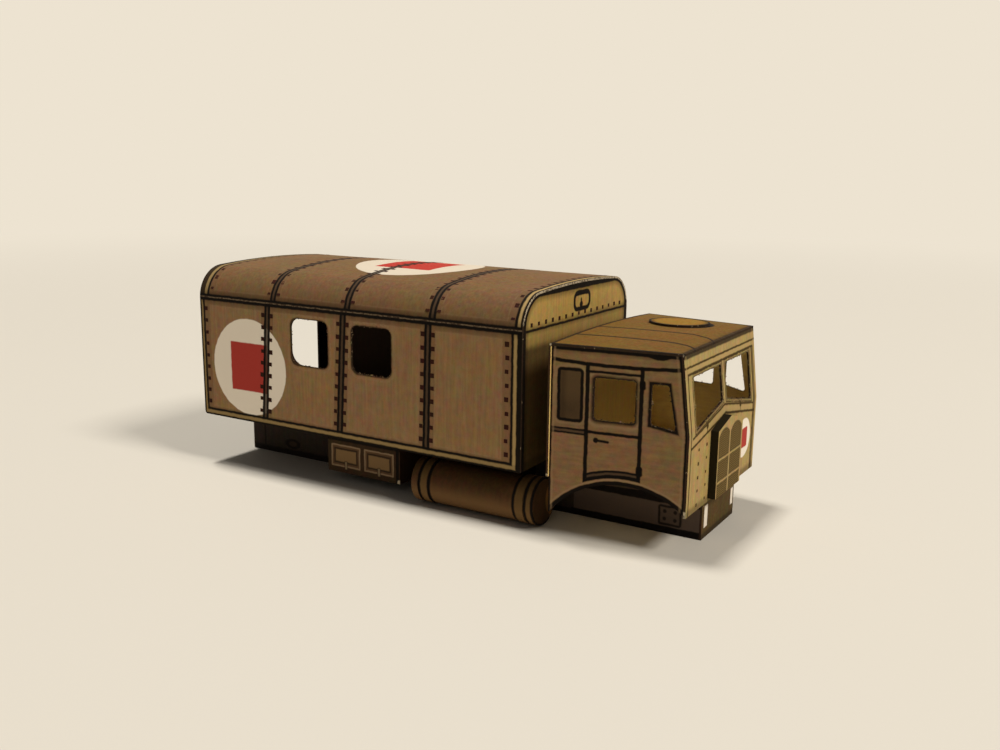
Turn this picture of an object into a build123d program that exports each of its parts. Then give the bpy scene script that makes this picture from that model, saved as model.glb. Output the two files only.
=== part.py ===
from build123d import *
import math
import os

# A small printed card model of a military ambulance truck, folded and glued by hand.
# Millimetres. +X is forward, +Y is the vehicle's left and +Z is up.
# The origin lies on the ground, below the middle of the whole model.
# Heights are counted from the ground. The model has no wheels: it rests on its chassis box.

# Card
card = 0.3
glue_gap = 0.05

# Chassis box under the whole truck
chassis_height = 8.2
chassis_width = 13.0
chassis_rear_inset = 0.7

# Load body
body_length = 60.2
body_width = 33.3
body_height = 25.3
shoulder_radius = 5.1
roof_end_crown = 0.42
roof_middle_crown = 1.0
worn_corner = 0.5

# Hand-cut windows in each body side, the front one first, counted back from the front wall.
# Each row gives the corners' radii: front bottom, front top, rear top, rear bottom.
window_width = 7.3
window_height = 7.2
window_below_eaves = 1.55
window_front_distance = 25.3
window_pitch = 11.85
window_corners = [
    (1.3, 0.9, 1.0, 1.5),
    (1.1, 1.0, 1.6, 2.2),
]

# Doorway cut in the rear wall, which shows through the rear window of the right side
doorway_width = 22.7
doorway_height = 14.6
doorway_sill = 1.4

# Cab, which narrows towards the front and leans back above the waist
cab_gap = 4.0
cab_length = 18.7
cab_rear_width = 32.8
cab_front_width = 27.4
cab_side_height = 18.0
cab_front_drop = 2.9
cab_rear_drop = 4.6
waist_height = 7.9
windscreen_lean = 1.2
rear_wall_overhang = 0.25

# Cab roof sheet, arched across the cab and folded down to a straight front edge
roof_camber = 0.45
roof_fold_length = 3.6
hatch_radius = 4.4
hatch_back_distance = 9.0
hatch_left_offset = 7.5

# Wheel arch cut in each cab side
arch_radius = 12.5
arch_forward_distance = 10.4
arch_crown = 0.35

# Door window and slanted front quarter window, counted forward from the cab's rear face
door_window_start = 6.15
door_window_width = 5.5
door_window_sill = 8.7
door_window_height = 5.65
cut_corner = 0.4
quarter_window_start = 13.65
quarter_window_top_width = 2.2
quarter_window_bottom_width = 3.3
quarter_window_rear_sill = 8.9
quarter_window_front_sill = 8.3
quarter_window_top = 14.2

# Windscreens either side of the middle post
windscreen_post = 1.6
windscreen_width = 10.3
windscreen_inner_sill = 10.0
windscreen_outer_sill = 8.1
windscreen_top = 15.0

# Grille box with a pointed top, glued on slightly to the right of the middle
grille_width = 10.0
grille_depth = 1.1
grille_offset = -0.7
grille_bottom_drop = 2.4
grille_shoulder = 6.95
grille_peak = 8.2

# Toolboxes against the chassis
toolbox_length = 14.0
toolbox_depth = 6.5
toolbox_height = 6.7
toolbox_front_distance = 23.0

# Rolled tanks in front of the toolboxes
tank_radius = 3.4
tank_length = 20.2
tank_side_distance = 13.0
tank_ground_gap = 0.1
tank_front_overhang = 1.8
tank_rim = 1.2
tank_band = 1.4
tank_groove = 0.3
tank_relief = 0.1
tank_disc_inset = 0.25
bracket_inset = 5.0
bracket_reach = 1.5

# Places that follow from the sizes above
overall_length = body_length + cab_gap + cab_length + grille_depth
body_rear_x = -overall_length / 2
body_front_x = body_rear_x + body_length
cab_rear_x = body_front_x + cab_gap
cab_front_x = cab_rear_x + cab_length
floor_z = chassis_height
roof_z = floor_z + body_height
eaves_z = roof_z - roof_middle_crown - shoulder_radius
cab_top_z = floor_z + cab_side_height
waist_z = floor_z + waist_height
header_x = cab_front_x - windscreen_lean
tall = 2 * roof_z
wide = 2 * body_width


def box_between(x0, x1, y0, y1, z0, z1):
    """A box given by its two corners."""
    size = (x1 - x0, y1 - y0, z1 - z0)
    return Pos((x0 + x1) / 2, (y0 + y1) / 2, (z0 + z1) / 2) * Box(*size)


def side_cut(points, corner=0.0):
    """A bar along Y, wide enough to cut both sides, from an outline of X and Z values."""
    outline = make_face(Polyline(*points, close=True))
    if corner:
        outline = fillet(outline.vertices(), corner)
    return extrude(Plane.XZ * outline, amount=body_width, both=True)


def front_cut(points, corner=0.0):
    """A bar along X from an outline of Y and Z values."""
    outline = make_face(Polyline(*points, close=True))
    if corner:
        outline = fillet(outline.vertices(), corner)
    return extrude(Plane.YZ * outline, amount=overall_length, both=True)


def mirrored(piece):
    """The same piece on the other side of the truck."""
    return mirror(piece, about=Plane.XZ)


# Load body

shoulder_y = body_width / 2 - shoulder_radius


def shouldered_outline(crown, inset, foot_z):
    """The load body's section from foot_z up to the crown, moved inwards by inset.
    The shoulders run on smoothly into the low arch between them."""
    radius = shoulder_radius - inset
    crown_arm = (shoulder_y**2 + crown**2) / (2 * crown)
    full_turn = math.pi / 2 - math.asin(shoulder_y / crown_arm)

    def on_shoulder(side, share):
        turn = share * full_turn
        y = side * (shoulder_y + radius * math.cos(turn))
        return (y, eaves_z + radius * math.sin(turn))

    top_z = eaves_z + radius + crown
    lines = [ThreePointArc(on_shoulder(-1, 1), (0, top_z), on_shoulder(1, 1))]
    for side in (-1, 1):
        lines.append(ThreePointArc(*(on_shoulder(side, share) for share in (0, 0.5, 1))))
        if foot_z < eaves_z:
            lines.append(Line(on_shoulder(side, 0), (side * (shoulder_y + radius), foot_z)))
    lines.append(Line((-shoulder_y - radius, foot_z), (shoulder_y + radius, foot_z)))
    return make_face(lines)


def body_side():
    """The right side panel with its rough window holes and its worn lower rear corner."""
    outer_y = -body_width / 2
    panel = box_between(body_rear_x, body_front_x, outer_y, outer_y + card, floor_z, eaves_z)
    lower_edges = panel.edges().filter_by(Axis.Y).group_by(Axis.Z)[0]
    panel = fillet(lower_edges.sort_by(Axis.X)[0], worn_corner)
    z0 = eaves_z - window_below_eaves - window_height
    for number, radii in enumerate(window_corners):
        x1 = body_front_x - window_front_distance - number * window_pitch + window_width / 2
        x0 = x1 - window_width
        corners = [(x1, z0), (x1, z0 + window_height), (x0, z0 + window_height), (x0, z0)]
        hole = make_face(Polyline(*corners, close=True))
        for (x, z), radius in zip(corners, radii):
            corner = hole.vertices().sort_by_distance((x, z, 0))[0]
            hole = fillet(corner, radius)
        panel -= extrude(Plane.XZ * hole, amount=body_width)
    return panel


def roof_block(inset):
    """All that lies under the roof sheet, which bulges between the two end walls."""
    middle_x = body_rear_x + body_length / 2
    stations = [
        (body_rear_x, roof_end_crown),
        (middle_x, roof_middle_crown),
        (body_front_x, roof_end_crown),
    ]
    sections = []
    for x, crown in stations:
        sections.append(Plane.YZ.offset(x) * shouldered_outline(crown, inset, eaves_z))
    return loft(sections)


def body_roof():
    """The roof sheet, bent over both shoulders and standing on the side panels."""
    return roof_block(0) - roof_block(card)


def body_end_wall(outer_x, inward):
    """An end wall inside the side panels and under the roof sheet."""
    outline = shouldered_outline(roof_end_crown, card + glue_gap, floor_z)
    return extrude(Plane.YZ.offset(outer_x) * outline, amount=inward * card)


def body_rear_wall():
    """The rear end wall with its open doorway."""
    half = doorway_width / 2
    z0 = floor_z + doorway_sill
    z1 = z0 + doorway_height
    wall = body_end_wall(body_rear_x, 1)
    return wall - front_cut([(-half, z0), (half, z0), (half, z1), (-half, z1)], cut_corner)


def body_floor():
    """The floor between the side panels and the end walls."""
    half = body_width / 2 - card
    return box_between(
        body_rear_x + card, body_front_x - card, -half, half, floor_z, floor_z + card
    )


# Cab

def cab_half_width(x):
    """Half the cab's outer width at a place along the truck."""
    share = (x - cab_rear_x) / cab_length
    return (cab_rear_width + share * (cab_front_width - cab_rear_width)) / 2


taper_angle = math.atan((cab_rear_width - cab_front_width) / 2 / cab_length)
side_thickness = card / math.cos(taper_angle)


def plan_prism(x0, x1, inset):
    """A tall block with the cab's tapered plan, moved inwards by inset."""
    y0 = cab_half_width(x0) - inset
    y1 = cab_half_width(x1) - inset
    plan = Polyline((x0, -y0), (x1, -y1), (x1, y1), (x0, y0), close=True)
    return extrude(make_face(plan), amount=tall)


def front_profile(inset):
    """The cab front's fold, from its foot to the header, as X and Z values."""
    return [
        (cab_front_x - inset, floor_z - cab_front_drop),
        (cab_front_x - inset, waist_z),
        (header_x - inset, cab_top_z),
    ]


def cab_side():
    """The right side panel with its wheel arch, door window and quarter window."""
    start_x = cab_rear_x + card
    rear_points = [(start_x, cab_top_z), (start_x, floor_z - cab_rear_drop)]
    blank = side_cut(rear_points + front_profile(card))
    walls = plan_prism(cab_rear_x, cab_front_x, 0)
    walls -= plan_prism(cab_rear_x, cab_front_x, side_thickness)
    right_half = box_between(cab_rear_x, cab_front_x, -body_width, 0, 0, tall)
    panel = blank & walls & right_half

    arch_x = cab_rear_x + arch_forward_distance
    arch_z = floor_z + arch_crown - arch_radius
    arch = Plane.XZ * Pos(arch_x, arch_z) * Circle(arch_radius)
    panel -= extrude(arch, amount=body_width, both=True)

    x0 = cab_rear_x + door_window_start
    x1 = x0 + door_window_width
    z0 = floor_z + door_window_sill
    z1 = z0 + door_window_height
    panel -= side_cut([(x0, z0), (x1, z0), (x1, z1), (x0, z1)], cut_corner)

    x0 = cab_rear_x + quarter_window_start
    z1 = floor_z + quarter_window_top
    corners = [
        (x0, floor_z + quarter_window_rear_sill),
        (x0 + quarter_window_bottom_width, floor_z + quarter_window_front_sill),
        (x0 + quarter_window_top_width, z1),
        (x0, z1),
    ]
    return panel - side_cut(corners, cut_corner)


def cab_front():
    """The front panel, folded at the waist, with two slanted windscreen holes."""
    blank = side_cut(front_profile(0) + front_profile(card)[::-1])
    panel = blank & plan_prism(cab_rear_x, cab_front_x, 0)
    inner_y = windscreen_post / 2
    outer_y = inner_y + windscreen_width
    top_z = floor_z + windscreen_top
    for side in (-1, 1):
        corners = [
            (side * inner_y, floor_z + windscreen_inner_sill),
            (side * outer_y, floor_z + windscreen_outer_sill),
            (side * outer_y, top_z),
            (side * inner_y, top_z),
        ]
        panel -= front_cut(corners, cut_corner)
    return panel


def arched_section(x, camber):
    """A strip of card seen end-on at x, arched by camber and standing on the cab sides."""
    half = cab_half_width(x)

    def edge(z):
        if camber:
            return ThreePointArc((-half, z), (0, z + camber), (half, z))
        return Line((-half, z), (half, z))

    low = edge(cab_top_z)
    high = edge(cab_top_z + card)
    ends = [Line(low @ 0, high @ 0), Line(low @ 1, high @ 1)]
    return Plane.YZ.offset(x) * make_face([low, high] + ends)


def cab_roof():
    """The roof sheet: an arch that flattens to the straight header in front of its fold."""
    fold_x = header_x - roof_fold_length
    rear = arched_section(cab_rear_x, roof_camber)
    fold = arched_section(fold_x, roof_camber)
    front = arched_section(header_x, 0)
    return loft([rear, fold], ruled=True) + loft([fold, front], ruled=True)


def cab_rear_wall():
    """The rear wall, a little wider than the cab, with an arched top under the roof."""
    half = cab_half_width(cab_rear_x)
    top_z = cab_top_z - glue_gap
    arch = ThreePointArc((-half, top_z), (0, top_z + roof_camber), (half, top_z))
    outer = half + rear_wall_overhang
    foot_z = floor_z + card
    rest = Polyline(
        (half, top_z), (outer, top_z), (outer, foot_z), (-outer, foot_z), (-outer, top_z), (-half, top_z)
    )
    return extrude(Plane.YZ.offset(cab_rear_x) * make_face([arch, rest]), amount=card)


def cab_floor():
    """The floor between the cab sides, glued on top of the chassis box."""
    plan = plan_prism(cab_rear_x, cab_front_x - card, side_thickness)
    return plan & box_between(cab_rear_x, cab_front_x, -wide, wide, floor_z, floor_z + card)


def cab_roof_hatch():
    """The round hatch, a disc of card that lies on the arched roof and bends with it."""
    place = Pos(header_x - hatch_back_distance, hatch_left_offset)
    return (Pos(0, 0, card) * cab_roof()) & (place * Cylinder(hatch_radius, tall))


def cab_grille():
    """The grille box with its pointed top, glued to the cab front."""
    left = grille_offset + grille_width / 2
    right = grille_offset - grille_width / 2
    foot_z = floor_z - grille_bottom_drop
    corners = [
        (right, foot_z),
        (left, foot_z),
        (left, floor_z + grille_shoulder),
        (grille_offset, floor_z + grille_peak),
        (right, floor_z + grille_shoulder),
    ]
    outline = make_face(Polyline(*corners, close=True))
    return extrude(Plane.YZ.offset(cab_front_x) * outline, amount=grille_depth)


# Chassis box

chassis_rear_x = body_rear_x + chassis_rear_inset
chassis_front_x = cab_front_x - card
chassis_side_y = chassis_width / 2


def chassis_side():
    """The right side strip of the chassis box, between its end plates."""
    x0 = chassis_rear_x + card
    x1 = chassis_front_x - card
    return box_between(x0, x1, -chassis_side_y, card - chassis_side_y, 0, chassis_height)


def chassis_lid(z0):
    """The bottom or top strip of the chassis box, between the side strips."""
    half = chassis_side_y - card
    return box_between(
        chassis_rear_x + card, chassis_front_x - card, -half, half, z0, z0 + card
    )


def chassis_end(x0):
    """An end plate of the chassis box."""
    return box_between(x0, x0 + card, -chassis_side_y, chassis_side_y, 0, chassis_height)


# Toolboxes and tanks

def toolbox():
    """The right toolbox, closed, under the floor and against the chassis."""
    x1 = body_front_x - toolbox_front_distance
    y1 = -chassis_side_y
    return box_between(
        x1 - toolbox_length, x1, y1 - toolbox_depth, y1, floor_z - toolbox_height, floor_z
    )


tank_front_x = body_front_x + tank_front_overhang
tank_rear_x = tank_front_x - tank_length
tank_z = tank_ground_gap + tank_radius
tank_place = Pos(tank_rear_x, -tank_side_distance, tank_z)
disc_radius = tank_radius - tank_disc_inset


def tank():
    """The right tank: a roll with a rim and a raised band at each end, turned on its axis."""
    low = tank_radius - tank_relief
    seat = disc_radius + glue_gap
    half = tank_length / 2
    groove = tank_rim + tank_groove
    band = groove + tank_band
    rear_half = [
        (card, 0),
        (card, seat),
        (0, seat),
        (0, tank_radius),
        (tank_rim, tank_radius),
        (tank_rim, low),
        (groove, low),
        (groove, tank_radius),
        (band, tank_radius),
        (band, low),
        (half, low),
        (half, 0),
    ]
    profile = Plane.XZ * make_face(Polyline(*rear_half, close=True))
    rear = revolve(profile, Axis.X)
    front = Pos(tank_length, 0, 0) * mirror(rear, about=Plane.YZ)
    return tank_place * (rear + front)


def tank_disc(start):
    """A round end of the tank, seated inside the rim."""
    disc = Cylinder(disc_radius, card, align=(Align.CENTER, Align.CENTER, Align.MIN))
    return tank_place * Pos(start, 0, 0) * Rot(0, 90, 0) * disc


def tank_bracket():
    """Two card cradles that hold the right tank to the chassis and the floor."""
    hollow = Cylinder(tank_radius + glue_gap, overall_length, rotation=(0, 90, 0))
    cradles = []
    for x0 in (tank_rear_x + bracket_inset, tank_front_x - bracket_inset - card):
        plate = box_between(
            x0, x0 + card, -tank_side_distance, -chassis_side_y, tank_z - bracket_reach, floor_z
        )
        cradles.append(plate - tank_place * hollow)
    return Compound(children=cradles)


nodes = {
    "body_side_right": body_side(),
    "body_roof": body_roof(),
    "body_front_wall": body_end_wall(body_front_x, -1),
    "body_rear_wall": body_rear_wall(),
    "body_floor": body_floor(),
    "cab_side_right": cab_side(),
    "cab_front": cab_front(),
    "cab_roof": cab_roof(),
    "cab_rear_wall": cab_rear_wall(),
    "cab_floor": cab_floor(),
    "cab_roof_hatch": cab_roof_hatch(),
    "cab_grille": cab_grille(),
    "chassis_side_right": chassis_side(),
    "chassis_bottom": chassis_lid(0),
    "chassis_top": chassis_lid(chassis_height - card),
    "chassis_front": chassis_end(chassis_front_x - card),
    "chassis_rear": chassis_end(chassis_rear_x),
    "toolbox_right": toolbox(),
    "tank_right": tank(),
    "tank_disc_rear_right": tank_disc(0),
    "tank_disc_front_right": tank_disc(tank_length - card),
    "tank_bracket_right": tank_bracket(),
}
for name in [name for name in nodes if name.endswith("_right")]:
    nodes[name.replace("_right", "_left")] = mirrored(nodes[name])

os.makedirs("parts", exist_ok=True)
for name, piece in nodes.items():
    export_step(piece, f"parts/{name}.step")
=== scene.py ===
import math
from functools import reduce

import bpy
from mathutils import Matrix, Vector
from mathutils.bvhtree import BVHTree


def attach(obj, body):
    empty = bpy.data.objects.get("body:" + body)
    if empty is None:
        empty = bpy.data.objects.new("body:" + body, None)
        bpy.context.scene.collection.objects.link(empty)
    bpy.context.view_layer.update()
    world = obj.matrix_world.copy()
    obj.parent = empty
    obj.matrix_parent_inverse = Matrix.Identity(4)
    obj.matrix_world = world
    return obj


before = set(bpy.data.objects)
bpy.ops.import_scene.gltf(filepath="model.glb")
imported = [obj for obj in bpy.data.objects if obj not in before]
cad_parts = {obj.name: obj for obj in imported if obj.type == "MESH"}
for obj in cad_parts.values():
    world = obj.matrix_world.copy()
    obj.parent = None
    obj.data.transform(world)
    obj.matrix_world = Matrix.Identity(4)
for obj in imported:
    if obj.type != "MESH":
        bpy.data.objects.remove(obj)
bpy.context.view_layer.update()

# All places below are in millimetres of the model, as in the part's own source.
MM = 0.001


def extent(node, axis):
    """The least and the greatest place of a CAD node along an axis."""
    places = [vertex.co[axis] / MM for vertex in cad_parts[node].data.vertices]
    return min(places), max(places)


def tint(red, green, blue):
    """A colour given as 0 to 255 values, made linear for the shaders."""
    def linear(value):
        value /= 255
        return value / 12.92 if value <= 0.04045 else ((value + 0.055) / 1.055) ** 2.4
    return (linear(red), linear(green), linear(blue), 1.0)


# Inks of the load body and the cab
SIDE_DRAB = tint(152, 119, 82)
CAB_DRAB = tint(138, 107, 73)
WALL_KHAKI = tint(186, 151, 84)
FRONT_KHAKI = tint(176, 149, 94)
ROOF_DRAB = tint(116, 88, 58)
CAB_ROOF_OLIVE = tint(108, 78, 34)
BAY_MARGIN = tint(108, 79, 55)
BAY_LINE = tint(160, 132, 98)
RIB_BROWN = tint(72, 56, 42)
LINE_INK = tint(15, 11, 8)
FRONT_LINE = tint(62, 46, 20)
SOFT_INK = tint(36, 26, 18)
STRIP_KHAKI = tint(182, 153, 100)
PRINT_WHITE = tint(250, 237, 217)
ROOF_WHITE = tint(216, 202, 180)
MARKING_RED = tint(176, 38, 27)
WINDOW_FILL = tint(84, 65, 42)
MESH_OLIVE = tint(138, 112, 58)
GRILLE_SIDE = tint(38, 32, 19)
HATCH_OCHRE = tint(138, 101, 38)
RIVET_INK = tint(54, 28, 20)
NOSE_RIVET_INK = tint(72, 52, 26)

# Inks of the chassis and what hangs on it
CHASSIS_BROWN = tint(57, 47, 39)
CHASSIS_BLACK = tint(16, 12, 9)
TOOLBOX_BROWN = tint(80, 59, 38)
RAIL_GREY = tint(94, 79, 68)
PLATE_GREY = tint(84, 70, 59)
CHASSIS_END_OLIVE = tint(86, 68, 38)
TOOLBOX_SIDE = tint(58, 40, 24)
LID_BROWN = tint(104, 78, 54)
LID_FRAME = tint(158, 132, 102)
LID_MIDDLE = tint(142, 112, 74)
LATCH_TAN = tint(146, 124, 94)
# The tank's brown is darkened as painted shade under the body; its underside is paler as painted
# light.
TANK_SHADED_BROWN = tint(74, 51, 29)
TANK_BAND = tint(108, 84, 48)
TANK_PAINTED_LIGHT_BELOW = tint(130, 98, 62)
TANK_DISC_BROWN = tint(112, 80, 44)

# Card and paper: plain, inside the cab and the body, at cut edges, under and behind the model
BARE_CARD = tint(214, 196, 164)
# Inside the cab the card is white: these copies are tinted warm and bright as painted light, and
# darker on the rear wall as painted shade.
CAB_WARM_LIT_CARD = tint(252, 224, 150)
CAB_SHADED_BACK_CARD = tint(222, 188, 112)
# Card inside the body and the chassis, darkened as painted shade.
SHADE_DARK_CARD = tint(64, 48, 34)
CUT_INK = tint(54, 40, 29)
CUT_CARD = tint(170, 148, 116)
CAB_REAR_CUT = tint(70, 53, 36)
CAB_FLOOR_CARD = tint(240, 222, 184)
TORN_CARD = tint(150, 126, 94)
FLOOR_PAPER = tint(213, 206, 193)
BACKDROP = tint(237, 227, 209)

# Places that several pieces share, read from the truck's own pieces where they can be
X, Y, Z = 0, 1, 2
BODY_FRONT = extent("body_side_left", X)[1]
SIDE_Y = extent("body_side_left", Y)[1]
EAVES_Z = extent("body_side_left", Z)[1]
SHOULDER_Y, SHOULDER_Z = SIDE_Y - 5.1, EAVES_Z + 0.3
ROOF_MIDDLE_Z = 20.0
CAB_REAR, CAB_FRONT = extent("cab_roof", X)[0], extent("cab_front", X)[1]
CAB_REAR_Y = extent("cab_roof", Y)[1]
WAIST_Z = 16.1
cab_narrowing, front_lean = 2.7, 1.2
CAB_TAPER = cab_narrowing / (CAB_FRONT - CAB_REAR)
LEAN_BACK = front_lean / (extent("cab_front", Z)[1] - WAIST_Z)
ARCH_X, ARCH_Z = 32.6, -3.95
HATCH_X, HATCH_Y = (sum(extent("cab_roof_hatch", axis)) / 2 for axis in (X, Y))
HATCH_RADIUS = extent("cab_roof_hatch", Y)[1] - HATCH_Y

# Cut window holes: left, right, low and high, or from the middle outward for the windscreens
DOOR_WINDOW = (28.35, 33.85, 16.9, 22.55)
QUARTER_REAR, QUARTER_LOW, QUARTER_HIGH = 35.85, 17.1, 22.4
WINDSCREEN = (0.8, 11.1, 16.3, 23.2)
WINDSCREEN_INNER_LOW = 18.2

# Half the red square's side, as a share of the white disc's diameter
SQUARE_SHARE = 0.252


class Reading:
    """A number that changes over a sheet: a place, a distance or a share."""

    def __init__(self, sheet, socket):
        self.sheet = sheet
        self.socket = socket

    def __add__(self, other):
        return self.sheet.reckon("ADD", self, other)

    def __sub__(self, other):
        return self.sheet.reckon("SUBTRACT", self, other)

    def __rsub__(self, other):
        return self.sheet.reckon("SUBTRACT", other, self)

    def __mul__(self, other):
        return self.sheet.reckon("MULTIPLY", self, other)

    def __abs__(self):
        return self.sheet.reckon("ABSOLUTE", self)


# Shapes of the print, as distances in millimetres: negative inside the shape.

def overlap(*shapes):
    return reduce(lambda a, b: a.sheet.reckon("MAXIMUM", a, b), shapes)


def joined(*shapes):
    return reduce(lambda a, b: a.sheet.reckon("MINIMUM", a, b), shapes)


def strip(value, low, high):
    return abs(value - (low + high) / 2) - (high - low) / 2


def outline(shape, width):
    return abs(shape) - width / 2


def length(across, up):
    return across.sheet.reckon("SQRT", across * across + up * up)


def disc(across, up, centre, radius):
    return length(across - centre[0], up - centre[1]) - radius


def panel(across, up, left, right, low, high, corner=0.0):
    sides = [strip(across, left, right), strip(up, low, high)]
    if not corner:
        return overlap(*sides)
    reckon = across.sheet.reckon
    beyond = [reckon("MAXIMUM", side + corner, 0.0) for side in sides]
    within = reckon("MINIMUM", overlap(*sides) + corner, 0.0)
    return length(*beyond) + within - corner


def stroke(across, up, start, end, width):
    run, rise = end[0] - start[0], end[1] - start[1]
    from_start = (across - start[0], up - start[1])
    scale = 1 / (run * run + rise * rise)
    along = (from_start[0] * run + from_start[1] * rise) * scale
    share = along.sheet.reckon("ADD", along, 0.0, clamp=True)
    return length(from_start[0] - share * run, from_start[1] - share * rise) - width / 2


class PrintedSheet:
    """A card sheet whose print is painted on in layers, over ink with streaks one way."""

    def __init__(self, name, ground, mottle=0.28, streaks=(1, 1, 0.07)):
        self.material = bpy.data.materials.new(name)
        self.material.use_nodes = True
        self.tree = self.material.node_tree
        self.tree.nodes.clear()
        self.streaks = streaks
        self.bare_places = []
        place = self.node("VectorMath", operation="SCALE")
        self.feed(place.inputs[0], self.node("TexCoord").outputs["Object"])
        place.inputs["Scale"].default_value = 1 / MM
        self.place = place.outputs[0]
        self.x, self.y, self.z = self.parts(self.wavered(0.05))
        self.side = abs(self.y)
        facing = self.node("NewGeometry").outputs["True Normal"]
        self.facing_x, self.facing_y, self.facing_z = self.parts(facing)
        outer_half = self.reckon("SIGN", self.y)
        self.facing_out = self.facing_y * outer_half
        self.colour = self.mottled(ground, mottle)

    def node(self, kind, **settings):
        made = self.tree.nodes.new("ShaderNode" + kind)
        for name, value in settings.items():
            setattr(made, name, value)
        return made

    def feed(self, socket, value):
        if isinstance(value, Reading):
            value = value.socket
        if isinstance(value, bpy.types.NodeSocket):
            self.tree.links.new(value, socket)
        else:
            socket.default_value = value

    def reckon(self, operation, *values, clamp=False):
        """A sum on readings or plain numbers."""
        made = self.node("Math", operation=operation, use_clamp=clamp)
        for socket, value in zip(made.inputs, values):
            self.feed(socket, value)
        return Reading(self, made.outputs[0])

    def parts(self, vector):
        split = self.node("SeparateXYZ")
        self.feed(split.inputs[0], vector)
        return [Reading(self, part) for part in split.outputs]

    def noise(self, per_mm, stretch=(1, 1, 1), detail=2.0, colour=False, seed=0.0):
        """Grain of about per_mm spots a millimetre, which the seed shifts."""
        shifted = self.node("VectorMath", operation="MULTIPLY_ADD")
        self.feed(shifted.inputs[0], self.place)
        shifted.inputs[1].default_value = stretch
        shifted.inputs[2].default_value = (seed, seed * 0.7, -seed)
        grain = self.node("TexNoise")
        self.feed(grain.inputs["Vector"], shifted.outputs[0])
        grain.inputs["Scale"].default_value = per_mm
        grain.inputs["Detail"].default_value = detail
        return grain.outputs["Color"] if colour else Reading(self, grain.outputs[0])

    def wavered(self, reach):
        """The place on the sheet, astray by about the reach each way, as a home-printed line is."""
        shift = self.node("VectorMath", operation="SUBTRACT")
        self.feed(shift.inputs[0], self.noise(0.9, colour=True, seed=3.0))
        shift.inputs[1].default_value = (0.5, 0.5, 0.5)
        moved = self.node("VectorMath", operation="MULTIPLY_ADD")
        self.feed(moved.inputs[0], shift.outputs[0])
        moved.inputs[1].default_value = (4 * reach,) * 3
        self.feed(moved.inputs[2], self.place)
        return moved.outputs[0]

    def mixed(self, share, first, second, blend="MIX"):
        """Two colours mixed: a Mix node has them at inputs 6 and 7, and the result at output 2."""
        made = self.node("Mix", data_type="RGBA", blend_type=blend)
        self.feed(made.inputs[0], share)
        self.feed(made.inputs[6], first)
        self.feed(made.inputs[7], second)
        return made.outputs[2]

    def mottled(self, ink, strength):
        """Ink as a home printer lays it: blotchy in each colour, with faint streaks one way."""
        blotches = self.noise(1.1, detail=3.0, colour=True)
        colour = self.mixed(strength, ink, blotches, "OVERLAY")
        clouds = self.noise(0.16, colour=True, seed=9.0)
        colour = self.mixed(strength * 0.6, colour, clouds, "SOFT_LIGHT")
        tinge = self.noise(2.1, self.streaks, colour=True, seed=17.0)
        colour = self.mixed(strength * 0.7, colour, tinge, "SOFT_LIGHT")
        drawn = self.noise(2.4, self.streaks, detail=3.0)
        streaks = self.eased(drawn, 0.25, 0.75, 0.9, 1.08)
        grain = self.eased(self.noise(7.0, detail=1.0, seed=5.0), 0.2, 0.8, 0.93, 1.06)
        return self.mixed(min(1.0, 4 * strength), colour, self.grey(streaks * grain), "MULTIPLY")

    def grey(self, value):
        made = self.node("CombineXYZ")
        for socket in made.inputs:
            self.feed(socket, value)
        return made.outputs[0]

    def eased(self, value, low, high, at_low, at_high):
        """A smooth step from at_low to at_high while the value goes from low to high."""
        made = self.node("MapRange", interpolation_type="SMOOTHSTEP")
        for socket, given in zip(made.inputs, (value, low, high, at_low, at_high)):
            self.feed(socket, given)
        return Reading(self, made.outputs[0])

    def paint(self, shape, ink, strength=1.0, soft=0.1, worn=0.0):
        """Lays ink on a shape. The higher worn is, the more of that ink has rubbed off."""
        share = self.eased(shape, -soft, soft, strength, 0.0)
        if worn:
            rubbed = self.noise(2.2, seed=13.0)
            share = share * self.eased(rubbed, worn - 0.1, worn + 0.1, 0.0, 1.0)
        self.colour = self.mixed(share, self.colour, ink)

    def line(self, shape, soft=0.1):
        """Lays the near-black ink of lines and rims on a shape."""
        self.paint(shape, LINE_INK, 0.99, soft)

    def shade(self, shape, ink, reach, strength):
        """Ink on a shape and in a soft halo that fades out over its reach around it."""
        share = self.eased(shape, 0.0, reach, strength, 0.0)
        self.colour = self.mixed(share, self.colour, ink)

    def marking(self, across, up, centre, diameter, white=PRINT_WHITE):
        """A white disc with an upright red square in it."""
        self.paint(disc(across, up, centre, diameter / 2), white, 0.97)
        half = SQUARE_SHARE * diameter
        sides = [place + away for place in centre for away in (-half, half)]
        self.paint(panel(across, up, *sides, 0.15), MARKING_RED, 0.96)

    def bare(self, shape):
        """A place where the cut edge shows bare card."""
        self.bare_places.append(shape)

    def bump(self, height, distance, strength, over=None):
        """The direction of a surface with this relief, laid over another relief if one is given."""
        made = self.node("Bump")
        made.inputs["Strength"].default_value = strength
        made.inputs["Distance"].default_value = distance * MM
        self.feed(made.inputs["Height"], height)
        if over is not None:
            self.feed(made.inputs["Normal"], over)
        return made.outputs[0]

    def finish(self, outward, inside=BARE_CARD, cut=CUT_INK, flecks=0.69, relief=1.0):
        """Print outside, plain card inside, and dark smeared cuts with pale flecks between."""
        speckle = self.noise(1.7, detail=3.0, seed=21.0)
        pale = self.eased(speckle, flecks - 0.06, flecks + 0.05, 0.0, 0.85)
        edge = self.mixed(pale, self.mottled(cut, 0.3), CUT_CARD)
        for place in self.bare_places:
            share = self.eased(place, -0.12, 0.12, 0.8, 0.0)
            torn = self.eased(self.noise(2.6, seed=61.0), 0.36, 0.56, 0.15, 1.0)
            edge = self.mixed(share * torn, edge, BARE_CARD)
        plain = self.mottled(inside, 0.16)
        printed = self.eased(outward, 0.3, 0.5, 0.0, 1.0)
        hidden = self.eased(outward, -0.5, -0.3, 1.0, 0.0)
        colour = self.mixed(printed, edge, self.colour)
        colour = self.mixed(hidden, colour, plain)

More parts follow.
